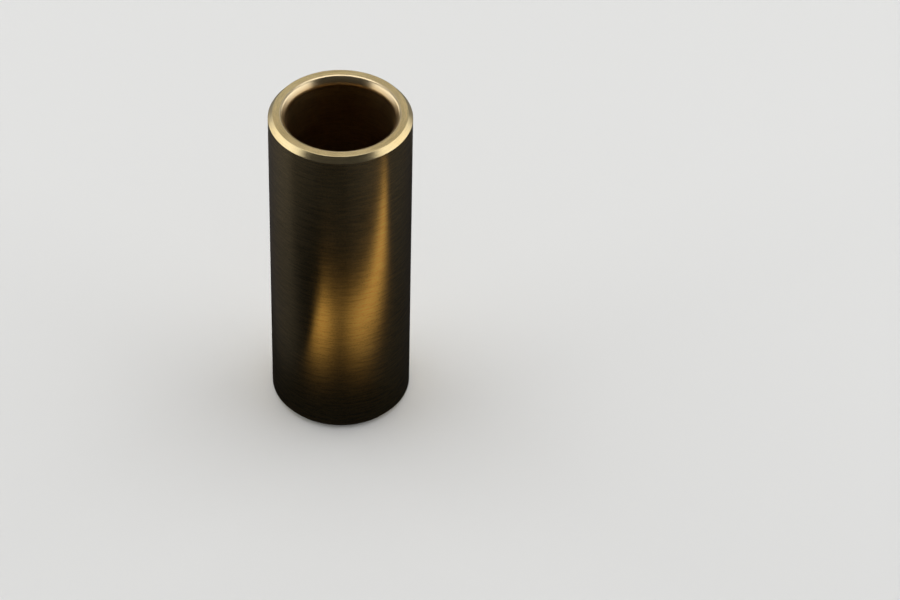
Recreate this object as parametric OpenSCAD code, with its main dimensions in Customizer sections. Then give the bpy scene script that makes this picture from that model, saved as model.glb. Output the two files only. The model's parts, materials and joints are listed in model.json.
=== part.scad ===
// Guitar slide: a thick-walled brass tube, turned from solid bar, that slips over a finger.
// It stands on one end face. The origin is the centre of that face, and +Z runs along the bore.
// Lengths are in millimetres and angles in degrees.

/* [Tube] */
// Outside diameter of the barrel
outer_d = 25.4; // [25:0.1:30]
// Diameter of the finger bore
bore_d = 19.05; // [15:0.05:19.5]
// Length from one end face to the other
length = 64.5; // [40:0.5:80]

/* [Outside edges] */
// Length along the axis of the chamfer round each end of the barrel
edge_chamfer_length = 1.0; // [0.4:0.1:1.5]
// Slope of that chamfer, measured from the axis
edge_chamfer_angle = 38; // [20:1:40]

/* [Bore mouths] */
// Length along the axis of the countersink at each mouth of the bore
mouth_length = 1.3; // [0.4:0.1:1.8]
// Slope of that countersink, measured from the axis
mouth_angle = 33; // [15:1:35]

/* [Hidden] */

// Radii of the two straight walls
outer_r = outer_d / 2;
bore_r = bore_d / 2;

// How far each sloped edge cuts into the width of the end face
edge_chamfer_width = edge_chamfer_length * tan(edge_chamfer_angle);
mouth_width = mouth_length * tan(mouth_angle);

// The flat ring that is left on each end face, between the two sloped edges
face_outer_r = outer_r - edge_chamfer_width;
face_inner_r = bore_r + mouth_width;

// Sides of each turned surface when it is drawn as a mesh
turned_sides = 180;

// The wall cut along the axis: distance from the axis across, height up.
// Both ends are turned alike. The points run up the bore and back down the barrel.
module wall_section() {
    polygon([
        [bore_r, mouth_length],
        [bore_r, length - mouth_length],
        [face_inner_r, length],
        [face_outer_r, length],
        [outer_r, length - edge_chamfer_length],
        [outer_r, edge_chamfer_length],
        [face_outer_r, 0],
        [face_inner_r, 0],
    ]);
}

// The slide is one piece of metal: the barrel, its two faced ends and the bore
module slide_tube() {
    color([0.78, 0.62, 0.33])
        rotate_extrude($fn = turned_sides)
            wall_section();
}

slide_tube();
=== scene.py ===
"""The looks of a turned brass guitar slide that stands on one end, on a plain pale floor.

The frame gives every size. The slide's mesh is its wall's section, with small rounded edges,
turned about the Z axis. Lengths are in metres, except where a comment says millimetres.
"""

import json
import math

import bpy
from mathutils import Matrix, Vector


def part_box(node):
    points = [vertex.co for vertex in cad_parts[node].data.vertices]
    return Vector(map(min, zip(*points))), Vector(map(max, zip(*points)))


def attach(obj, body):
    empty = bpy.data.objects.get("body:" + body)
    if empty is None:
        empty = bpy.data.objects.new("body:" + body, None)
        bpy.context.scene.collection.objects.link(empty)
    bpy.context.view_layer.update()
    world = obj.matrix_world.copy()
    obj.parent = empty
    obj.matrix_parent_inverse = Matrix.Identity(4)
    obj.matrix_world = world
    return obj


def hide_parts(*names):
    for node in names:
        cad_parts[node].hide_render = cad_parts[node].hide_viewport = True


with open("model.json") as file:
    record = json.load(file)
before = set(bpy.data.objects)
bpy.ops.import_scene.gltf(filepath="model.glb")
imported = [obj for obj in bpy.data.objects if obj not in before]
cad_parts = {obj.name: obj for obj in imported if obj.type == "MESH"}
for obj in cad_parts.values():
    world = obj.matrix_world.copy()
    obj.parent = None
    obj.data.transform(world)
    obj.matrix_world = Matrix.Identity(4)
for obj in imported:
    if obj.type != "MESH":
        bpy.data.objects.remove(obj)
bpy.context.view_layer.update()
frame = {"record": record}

MM = 0.001
UM = 1e-6

# ---------------------------------------------------------------- sizes

NODE = "slide_tube"
MOUNTS = {mount["name"]: mount for mount in frame["record"]["mounts"]}
BARREL = MOUNTS["barrel"]["dims"]
BORE = MOUNTS["finger_bore"]["dims"]

node_low, node_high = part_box(NODE)
BASE_Z = node_low.z
LENGTH = node_high.z - node_low.z
OUTER_R = BARREL["r_mm"] * MM
BORE_R = BORE["r_mm"] * MM

# The sloped edges take up what the straight walls leave of the length
EDGE_CHAMFER_LENGTH = (LENGTH - BARREL["length_mm"] * MM) / 2
MOUTH_LENGTH = (LENGTH - BORE["length_mm"] * MM) / 2

# The flat ring at the top of the CAD node gives how far they cut into the end face
TOP_TOLERANCE = 0.01 * MM
top_radii = [
    math.hypot(vertex.co.x, vertex.co.y)
    for vertex in bpy.data.objects[NODE].data.vertices
    if vertex.co.z > node_high.z - TOP_TOLERANCE
]
FACE_OUTER_R = max(top_radii)
FACE_INNER_R = min(top_radii)

# ---------------------------------------------------------------- the wall's section

SEGMENTS = 288  # steps round the axis
ARC_STEPS = 6  # steps over each rounded edge
RING_SPACING = 2.5 * MM  # longest step along a straight side
CHAMFER_ROUNDING = 0.12 * MM
LIP_ROUNDING = 0.60 * MM
THROAT_ROUNDING = 1.60 * MM

# Corners as (radius, height, rounding, zone of the side that starts there).
# They run up the bore, out over the top face, down the barrel and in under the bottom face.
CORNERS = [
    (FACE_INNER_R, 0, LIP_ROUNDING, "mouth"),
    (BORE_R, MOUTH_LENGTH, THROAT_ROUNDING, "bore"),
    (BORE_R, LENGTH - MOUTH_LENGTH, THROAT_ROUNDING, "mouth"),
    (FACE_INNER_R, LENGTH, LIP_ROUNDING, "face"),
    (FACE_OUTER_R, LENGTH, CHAMFER_ROUNDING, "chamfer"),
    (OUTER_R, LENGTH - EDGE_CHAMFER_LENGTH, CHAMFER_ROUNDING, "barrel"),
    (OUTER_R, EDGE_CHAMFER_LENGTH, CHAMFER_ROUNDING, "chamfer"),
    (FACE_OUTER_R, 0, CHAMFER_ROUNDING, "face"),
]
ZONES = ["barrel", "chamfer", "face", "mouth", "bore"]
STRAIGHT_ZONES = ("barrel", "bore", "face")
INSIDE_ZONES = ("mouth", "bore")

UV_MAP = "OFBake"  # the name of the unwrapped map
ALONG_WALL = "along_wall"  # attribute: distance along the section
MAP_MARGIN = 0.02  # bare edge round each strip, as a share of the map


def rounded_corner(before, corner, after, radius):
    """Points over one rounded corner, each with the outward normal there."""
    arriving = (corner - before).normalized()
    leaving = (after - corner).normalized()
    turn = arriving.angle_signed(leaving)
    setback = radius * math.tan(abs(turn) / 2)
    start = corner - arriving * setback
    start_normal = Vector((-arriving.y, arriving.x))
    centre = start - start_normal * radius
    points = []
    for step in range(ARC_STEPS + 1):
        normal = start_normal.copy()
        normal.rotate(Matrix.Rotation(-turn * step / ARC_STEPS, 2))
        points.append((centre + normal * radius, normal))
    return points


def section_rings():
    """The closed section as rings: point, outward normal, and the zone of the side after it."""
    flat = [Vector((radius, height)) for radius, height, _, _ in CORNERS]
    count = len(CORNERS)
    arcs = []
    for i, (_, _, rounding, _) in enumerate(CORNERS):
        arcs.append(rounded_corner(flat[i - 1], flat[i], flat[(i + 1) % count], rounding))
    rings = []
    for i, arc in enumerate(arcs):
        zone = CORNERS[i][3]
        # a rounded edge is finished like the sloped side that it belongs to
        arc_zone = CORNERS[i - 1][3] if zone in STRAIGHT_ZONES else zone
        for point, normal in arc[:-1]:
            rings.append((point, normal, arc_zone))
        start, normal = arc[-1]
        end = arcs[(i + 1) % count][0][0]
        steps = max(1, math.ceil((end - start).length / RING_SPACING))
        for step in range(steps):
            rings.append((start.lerp(end, step / steps), normal, zone))
    return rings


def turned_mesh(name, rings):
    """Turns the section about Z into one closed mesh, with its own unwrapped map."""
    vertices, normals, along = [], [], []
    travelled = 0.0
    distances = []
    for i, (point, normal, _) in enumerate(rings):
        distances.append(travelled)
        travelled += (rings[(i + 1) % len(rings)][0] - point).length
        for j in range(SEGMENTS):
            angle = math.tau * j / SEGMENTS
            cosine, sine = math.cos(angle), math.sin(angle)
            vertices.append((point.x * cosine, point.x * sine, BASE_Z + point.y))
            normals.append((normal.x * cosine, normal.x * sine, normal.y))
            along.append(distances[i])
    faces, zones = [], []
    for i, (_, _, zone) in enumerate(rings):
        ring = i * SEGMENTS
        next_ring = (i + 1) % len(rings) * SEGMENTS
        for j in range(SEGMENTS):
            k = (j + 1) % SEGMENTS
            faces.append((ring + j, next_ring + j, next_ring + k, ring + k))
            zones.append(ZONES.index(zone))
    mesh = bpy.data.meshes.new(name)
    mesh.from_pydata(vertices, [], faces)
    mesh.polygons.foreach_set("material_index", zones)
    mesh.polygons.foreach_set("use_smooth", [True] * len(faces))
    mesh.normals_split_custom_set_from_vertices(normals)
    attribute = mesh.attributes.new(ALONG_WALL, "FLOAT", "POINT")
    attribute.data.foreach_set("value", along)
    unwrap(mesh, rings, distances, travelled)
    mesh.update()
    return mesh


def unwrap(mesh, rings, distances, perimeter):
    """Two upright strips, the inside and the outside of the wall, each as wide as its girth."""
    girths = {True: BORE_R, False: OUTER_R}
    width = (1 - 3 * MAP_MARGIN) / sum(girths.values())
    left = {True: MAP_MARGIN, False: 2 * MAP_MARGIN + BORE_R * width}
    inside_length = next(d for d, ring in zip(distances, rings) if ring[2] == "face")
    lengths = {True: inside_length, False: perimeter - inside_length}
    starts = {True: 0.0, False: inside_length}
    height = (1 - 2 * MAP_MARGIN) / max(lengths.values())
    uv_map = mesh.uv_layers.new(name=UV_MAP)
    coordinates = []
    for i, (_, _, zone) in enumerate(rings):
        inside = zone in INSIDE_ZONES
        low = distances[i] - starts[inside]
        high = (distances[i + 1] if i + 1 < len(rings) else perimeter) - starts[inside]
        low_v, high_v = MAP_MARGIN + low * height, MAP_MARGIN + high * height
        for j in range(SEGMENTS):
            u = left[inside] + girths[inside] * width * j / SEGMENTS
            next_u = left[inside] + girths[inside] * width * (j + 1) / SEGMENTS
            coordinates += [u, low_v, u, high_v, next_u, high_v, next_u, low_v]
    uv_map.data.foreach_set("uv", coordinates)


# ---------------------------------------------------------------- brass

BRASS = (0.83, 0.63, 0.29, 1.0)
BRASS_TARNISHED = (0.76, 0.54, 0.22, 1.0)
EDGE_BRASS = (0.94, 0.77, 0.44, 1.0)
FACE_BRASS = (0.88, 0.71, 0.38, 1.0)
MOUTH_BRASS = (0.94, 0.77, 0.50, 1.0)
# painted shade: the bore's brass made darker, as the hole lies in shade
BORE_PAINTED_SHADE = (0.50, 0.33, 0.15, 1.0)

# Depths below the end face between which the mouth darkens into the bore's painted shade
BORE_STARTS = 0.3 * MM
BORE_REACHED = 1.2 * MM

# Lengths and widths of the marks round the axis, size of the specks among them, and the share
# that each of the three has in the whole
LONG_MARKS = (4.5 * MM, 0.36 * MM)
SHORT_MARKS = (1.6 * MM, 0.22 * MM)
SPECKS = 0.25 * MM
LONG_SHARE, SHORT_SHARE, SPECK_SHARE = 0.40, 0.35, 0.25
MARKS_LOW, MARKS_HIGH = 0.35, 0.65  # between these lie nearly all values of the marks

PATCHES = 11 * MM  # size of the patches of tarnish
PATCHES_LOW, PATCHES_HIGH = 0.3, 0.7  # between these lie nearly all values of the patches
PATCH_ROUGHNESS = 0.004  # how far the patches vary the roughness
TARNISH_LOW, TARNISH_HIGH = 0.35, 0.75  # values of the patches where tarnish starts and is full
MOST_TARNISH = 0.5  # share of the tarnished colour where tarnish is full

# For each zone, contrast is how far the marks vary the colour, spread how far they vary the
# roughness, and depth how deep they are. stretch is how much further the surface blurs light
# along the wall than round it. The colour further into the hole is painted shade.
FINISHES = {
    "barrel": {
        "name": "brushed_barrel",
        "colour": BRASS,
        "contrast": 0.20,
        "roughness": 0.20,
        "spread": 0.01,
        "stretch": 0.2,
        "depth": 10 * UM,
    },
    "chamfer": {
        "name": "cut_chamfer",
        "colour": EDGE_BRASS,
        "contrast": 0.09,
        "roughness": 0.31,
        "spread": 0.03,
        "stretch": 0.4,
        "depth": 10 * UM,
    },
    "face": {
        "name": "faced_end",
        "colour": FACE_BRASS,
        "contrast": 0.14,
        "roughness": 0.45,
        "spread": 0.05,
        "stretch": 0.2,
        "depth": 20 * UM,
    },
    "mouth": {
        "name": "smooth_mouth",
        "colour": MOUTH_BRASS,
        "contrast": 0.07,
        "roughness": 0.30,
        "spread": 0.02,
        "stretch": 0.3,
        "depth": 5 * UM,
        # painted shade: the mouth darkens further into the hole
        "painted_shade_colour": BORE_PAINTED_SHADE,
    },
    "bore": {
        "name": "reamed_bore",
        # painted shade: the whole bore darker than the brass outside
        "colour": BORE_PAINTED_SHADE,
        "contrast": 0.10,
        "roughness": 0.32,
        "spread": 0.03,
        "stretch": 0.5,
        "depth": 10 * UM,
    },
}


class Nodes:
    """Short ways to add and join nodes in one material."""

    def __init__(self, material):
        material.use_nodes = True
        self.tree = material.node_tree
        self.tree.nodes.clear()

    def add(self, kind, inputs=None, **settings):
        """Adds a node. An input is a value to set, or another node's output to join."""
        node = self.tree.nodes.new("ShaderNode" + kind)
        for key, value in settings.items():
            setattr(node, key, value)
        for key, value in (inputs or {}).items():
            if isinstance(value, bpy.types.NodeSocket):
                self.tree.links.new(value, node.inputs[key])
            else:
                node.inputs[key].default_value = value
        return node

    def math(self, operation, *values, clamp=False):
        """The result of one operation on these values."""
        inputs = dict(enumerate(values))
        return self.add("Math", inputs, operation=operation, use_clamp=clamp).outputs[0]

    def noise(self, vector, detail, roughness=0.5):
        """Noise whose spots are about one unit of the vector across."""
        inputs = {"Vector": vector, "Scale": 1.0, "Detail": detail, "Roughness": roughness}
        return self.add("TexNoise", inputs).outputs[0]

    def remap(self, value, low, high, new_low, new_high):
        """Stretches low to high onto new_low to new_high, and stops at its ends."""
        inputs = {0: value, 1: low, 2: high, 3: new_low, 4: new_high}
        return self.add("MapRange", inputs).outputs[0]

    def mix(self, share, first, second):
        """Mixes two colours. The Mix node keeps these in its inputs 6 and 7 and its output 2."""
        inputs = {0: share, 6: first, 7: second}
        return self.add("Mix", inputs, data_type="RGBA").outputs[2]

    def position(self):
        """The place of each point on the object."""
        return self.add("TexCoord").outputs["Object"]

    def split(self, vector):
        """The three parts of a vector."""
        return self.add("SeparateXYZ", {0: vector}).outputs


def shade(colour, factor):
    """A colour made lighter or darker."""
    return tuple(min(1.0, part * factor) for part in colour[:3]) + (1.0,)


def lathe_marks(nodes, length, width):
    """Noise in marks that run round the axis, of about this length and width."""
    across = nodes.split(nodes.position())
    along = nodes.add("Attribute", attribute_name=ALONG_WALL).outputs["Fac"]
    inputs = {
        0: nodes.math("MULTIPLY", across[0], 1 / length),
        1: nodes.math("MULTIPLY", across[1], 1 / length),
        2: nodes.math("MULTIPLY", along, 1 / width),
    }
    return nodes.noise(nodes.add("CombineXYZ", inputs).outputs[0], detail=1)


def grain(nodes, size, detail):
    """Noise in spots of about this size."""
    inputs = {0: nodes.position(), 1: (1 / size,) * 3}
    scaled = nodes.add("VectorMath", inputs, operation="MULTIPLY")
    return nodes.noise(scaled.outputs[0], detail=detail, roughness=0.6)


def all_marks(nodes):
    """Long marks, short marks and specks together."""
    long_marks = nodes.math("MULTIPLY", lathe_marks(nodes, *LONG_MARKS), LONG_SHARE)
    short_marks = nodes.math("MULTIPLY", lathe_marks(nodes, *SHORT_MARKS), SHORT_SHARE)
    specks = nodes.math("MULTIPLY", grain(nodes, SPECKS, detail=0), SPECK_SHARE)
    return nodes.math("ADD", nodes.math("ADD", long_marks, short_marks), specks)


def painted_shade_inside(nodes, tone, painted_shade_colour):
    """The tone at the end face, and the bore's painted shade from a little way into the hole."""
    height = nodes.split(nodes.position())[2]
    from_base = nodes.math("SUBTRACT", height, BASE_Z)
    from_top = nodes.math("SUBTRACT", BASE_Z + LENGTH, height)
    inside = nodes.math("MINIMUM", from_base, from_top)
    share = nodes.remap(inside, BORE_STARTS, BORE_REACHED, 0.0, 1.0)
    return nodes.mix(share, tone, painted_shade_colour)


def turned_brass(name, colour, contrast, roughness, spread, stretch, depth, painted_shade_colour=None):
    """Brass with fine marks round the axis and faint patches of tarnish."""
    material = bpy.data.materials.new(name)
    nodes = Nodes(material)
    marks = all_marks(nodes)
    patches = grain(nodes, PATCHES, detail=4)

    rough = nodes.remap(marks, MARKS_LOW, MARKS_HIGH, roughness - spread, roughness + spread)
    patch_rough = nodes.remap(
        patches, PATCHES_LOW, PATCHES_HIGH, -PATCH_ROUGHNESS, PATCH_ROUGHNESS
    )
    rough = nodes.math("ADD", rough, patch_rough, clamp=True)

    tarnish = nodes.remap(patches, TARNISH_LOW, TARNISH_HIGH, 0.0, MOST_TARNISH)
    lighter, darker = 1 + contrast, 1 - contrast
    light = nodes.mix(tarnish, shade(colour, lighter), shade(BRASS_TARNISHED, lighter))
    dark = nodes.mix(tarnish, shade(colour, darker), shade(BRASS_TARNISHED, darker))
    tone = nodes.mix(nodes.remap(marks, MARKS_LOW, MARKS_HIGH, 0.0, 1.0), dark, light)
    # painted shade: the surface darkens further into the hole
    if painted_shade_colour:
        tone = painted_shade_inside(nodes, tone, painted_shade_colour)

    bump = nodes.add("Bump", {"Strength": 1.0, "Distance": depth, "Height": marks})
    tangent = nodes.add("Tangent", direction_type="UV_MAP", uv_map=UV_MAP)
    shader = nodes.add(
        "BsdfPrincipled",
        {
            "Base Color": tone,
            "Metallic": 1.0,
            "Roughness": rough,
            "Anisotropic": stretch,
            "Anisotropic Rotation": 0.25,  # a quarter turn, so the stretch is along the wall
            "Normal": bump.outputs[0],
            "Tangent": tangent.outputs[0],
        },
    )
    nodes.add("OutputMaterial", {"Surface": shader.outputs[0]})
    return material


def build_slide():
    """The one piece, in place of the CAD tube."""
    mesh = turned_mesh("brass_slide", section_rings())
    for zone in ZONES:
        mesh.materials.append(turned_brass(**FINISHES[zone]))
    slide = bpy.data.objects.new("brass_slide", mesh)
    bpy.context.scene.collection.objects.link(slide)
    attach(slide, "root")
    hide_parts(NODE)


# ---------------------------------------------------------------- floor and the painted reflections

PALE = (0.75, 0.75, 0.74, 1.0)
BLACK = (0.0, 0.0, 0.0, 1.0)
WHITE = (1.0, 1.0, 1.0, 1.0)
HALF_FLOOR = 1.5
BLACK_SHEET_Z = BASE_Z - 0.05 * MM
PAINTED_REFLECTION_FLOOR_Z = BASE_Z - 0.1 * MM
NEAR_STEP = 2 * MM  # between the grid lines of the floor of painted reflections, as far as 120 mm from the axis
FURTHER_STEP = 20 * MM  # between those from there to 260 mm
GLOW = "glow"  # attribute: painted reflections, as light that the floor under the pale one gives off

# Red, green and blue of the painted reflections of the near room and of the gold bar
PAINTED_ROOM_TINT = (1.04, 1.09, 1.38)
PAINTED_BAR_GOLD = (0.50, 0.335, 0.13)

# Where the painted bar reflection bends and where it ends on the left, in millimetres
BAR_MIDDLE_Y = -44.9
BAR_LEFT_X = -22.7


def fade(low, high, value):
    """0 below low, 1 above high, and a smooth rise between them."""
    share = min(1.0, max(0.0, (value - low) / (high - low)))
    return share * share * (3 - 2 * share)


def bell(width, value):
    """1 at zero, falling smoothly to about a third at this width on both sides."""
    return math.exp(-((value / width) ** 2))


def painted_room_reflection(x, y):
    """Brightness of the painted reflection of a room that the barrel mirrors near by. x and y are
    in millimetres.
    """
    left = 0.025 * fade(14, 34, -x) * fade(-30, -5, y) + 0.035 * fade(30, 110, -x)
    right = 0.006 * fade(10, 25, x) + 0.020 * fade(20, 90, x)
    front = 0.007 * fade(48, 75, -y)
    return 0.006 + left + right + front


def painted_far_reflection(x, y):
    """Brightness of the painted reflection far off all round, and in a wedge behind. x and y are
    in millimetres.
    """
    all_round = 0.06 * fade(90, 190, math.hypot(x, y))
    behind = 0.16 * fade(50, 120, y) * bell(0.8 * max(1.0, y), x)
    return all_round + behind


def painted_bar_reflection(x, y):
    """Brightness of a painted bar reflection, bent like a wide V, in front. x and y are in
    millimetres.

    Across its length it fades slowly towards the slide and quickly away from it. It is dimmer
    in the middle, and ends sharply on the left and softly on the right.
    """
    rise = 0.31 * x if x > 0 else -0.30 * x
    from_ridge = y - BAR_MIDDLE_Y - rise
    near_width = 10.6 - 6 * fade(52, 73, x)
    far_width = 5.2
    bar = bell(near_width if from_ridge > 0 else far_width, from_ridge)
    left_end = BAR_LEFT_X + 0.31 * max(0.0, -34 - y)
    ends = fade(-1, 1, x - left_end) * (1 - fade(68, 84, x))
    dip = 1 - 0.64 * bell(13.3, x - 1.5)
    brighter_outward = 1 + 0.34 * fade(0, 60, x) + 0.28 * fade(5, 15, -x)
    return bar * ends * dip * brighter_outward


def painted_reflection_at(x, y):
    """Colour of the painted reflections that the floor glows with at a point, for the slide to
    mirror.
    """
    x, y = x / MM, y / MM
    room, far, bar = painted_room_reflection(x, y), painted_far_reflection(x, y), painted_bar_reflection(x, y)
    return [tint * room + far + gold * bar for tint, gold in zip(PAINTED_ROOM_TINT, PAINTED_BAR_GOLD)] + [1.0]


def stage_piece(name, mesh, inputs, seen_by, glows=False):
    """A piece of the stage that only these kinds of ray see."""
    material = bpy.data.materials.new(name)
    nodes = Nodes(material)
    shader = nodes.add("BsdfPrincipled", inputs)
    if glows:
        glow = nodes.add("Attribute", attribute_name=GLOW).outputs["Color"]
        nodes.tree.links.new(glow, shader.inputs["Emission Color"])
    nodes.add("OutputMaterial", {"Surface": shader.outputs[0]})
    mesh.materials.append(material)
    piece = bpy.data.objects.new(name, mesh)
    for ray in ("camera", "diffuse", "glossy", "shadow"):
        setattr(piece, "visible_" + ray, ray in seen_by)
    bpy.context.scene.collection.objects.link(piece)


def flat_mesh(name, steps, height):
    """A flat square grid with lines at these places both ways."""
    count = len(steps)
    places = [(x, y, height) for y in steps for x in steps]
    squares = [
        (j * count + i, j * count + i + 1, (j + 1) * count + i + 1, (j + 1) * count + i)
        for j in range(count - 1)
        for i in range(count - 1)
    ]
    mesh = bpy.data.meshes.new(name)
    mesh.from_pydata(places, [], squares)
    return mesh


def build_floor():
    """A plain pale floor, and under it a dark one, glowing with painted reflections, that only
    reflections see.

    That one is white to the denoiser, which then keeps the fine marks of the metal that mirrors
    it, and a black sheet over it keeps all light off, so that only its own glow shows.
    """
    edges = [-HALF_FLOOR, HALF_FLOOR]
    pale = {"Base Color": PALE, "Roughness": 0.7}
    stage_piece("floor", flat_mesh("floor", edges, BASE_Z), pale, ("camera", "diffuse", "shadow"))
    black = {"Base Color": BLACK, "Specular IOR Level": 0.0}
    sheet = flat_mesh("black_sheet", edges, BLACK_SHEET_Z)
    stage_piece("black_sheet", sheet, black, ("diffuse", "shadow"))

    near = [i * NEAR_STEP for i in range(-60, 61)]
    further = [i * FURTHER_STEP for i in range(7, 14)]
    steps = [-HALF_FLOOR] + [-step for step in reversed(further)] + near + further + [HALF_FLOOR]
    # a floor that glows with painted reflections, seen only by glossy rays
    mirrored = flat_mesh("mirrored_floor", steps, PAINTED_REFLECTION_FLOOR_Z)
    glow = mirrored.attributes.new(GLOW, "FLOAT_COLOR", "POINT")
    colours = [part for y in steps for x in steps for part in painted_reflection_at(x, y)]
    glow.data.foreach_set("color", colours)
    glowing = {
        "Base Color": WHITE,
        "Roughness": 1.0,
        "Specular IOR Level": 0.0,
        "Emission Strength": 1.0,
    }
    stage_piece("mirrored_floor", mirrored, glowing, ("glossy",), glows=True)


# ---------------------------------------------------------------- light

MIDDLE = (0, 0, LENGTH / 2)
WORLD_STRENGTH = 0.45

# The two side lights stand this far out along X and face each other
BESIDE = 0.45
BESIDE_Y = 0.11
BESIDE_Z = 0.24


def softbox(name, place, target, width, height, watts):
    """A soft rectangular light that the camera doesn't see."""
    light = bpy.data.lights.new(name, "AREA")
    light.shape = "RECTANGLE"
    light.size, light.size_y = width, height
    light.energy = watts
    lamp = bpy.data.objects.new(name, light)
    lamp.location = place
    lamp.rotation_euler = (Vector(target) - Vector(place)).to_track_quat("-Z", "Y").to_euler()
    lamp.visible_camera = False
    bpy.context.scene.collection.objects.link(lamp)


def build_lights():
    """Five softboxes, and an even white world that the metal doesn't mirror."""
    softbox("overhead", (0, 0.10, 0.62), MIDDLE, width=0.70, height=0.36, watts=1.4)
    softbox("back", (0, 0.62, 0.56), MIDDLE, width=0.80, height=0.30, watts=0.40)
    for name, x in (("left", -BESIDE), ("right", BESIDE)):
        place, target = (x, BESIDE_Y, BESIDE_Z), (0, BESIDE_Y, BESIDE_Z)
        softbox(name, place, target, width=0.78, height=0.38, watts=1.20)
    softbox("front", (0, -0.70, 0.40), MIDDLE, width=0.90, height=0.30, watts=0.04)
    world = bpy.data.worlds.new("studio")
    world.use_nodes = True
    background = world.node_tree.nodes["Background"]
    background.inputs["Color"].default_value = WHITE
    background.inputs["Strength"].default_value = WORLD_STRENGTH
    world.cycles_visibility.glossy = False
    bpy.context.scene.world = world
    bpy.context.scene.view_settings.view_transform = "Standard"


# ---------------------------------------------------------------- camera

ELEVATION = math.radians(42.31)
ROLL = math.radians(1.47)
AIM = Vector((19.94, 1.1, 20.0)) * MM
CAMERA_DISTANCE = 658.5 * MM
LENS = 144  # millimetres, as is the sensor's width
SENSOR_WIDTH = 36
CLIP_START, CLIP_END = 0.05, 20


def build_camera():
    """Looks down at a point to the right of the slide, with a long lens and a slight roll."""
    forward = Vector((0, math.cos(ELEVATION), -math.sin(ELEVATION)))
    level = Vector((1, 0, 0))
    upright = level.cross(forward)
    right = level * math.cos(ROLL) + upright * math.sin(ROLL)
    up = right.cross(forward)
    data = bpy.data.cameras.new("camera")
    data.lens = LENS
    data.sensor_width = SENSOR_WIDTH
    data.clip_start, data.clip_end = CLIP_START, CLIP_END
    camera = bpy.data.objects.new("camera", data)
    turn = Matrix((right, up, -forward)).transposed()
    camera.matrix_world = Matrix.Translation(AIM - forward * CAMERA_DISTANCE) @ turn.to_4x4()
    bpy.context.scene.collection.objects.link(camera)
    bpy.context.scene.camera = camera


build_slide()
build_floor()
build_lights()
build_camera()
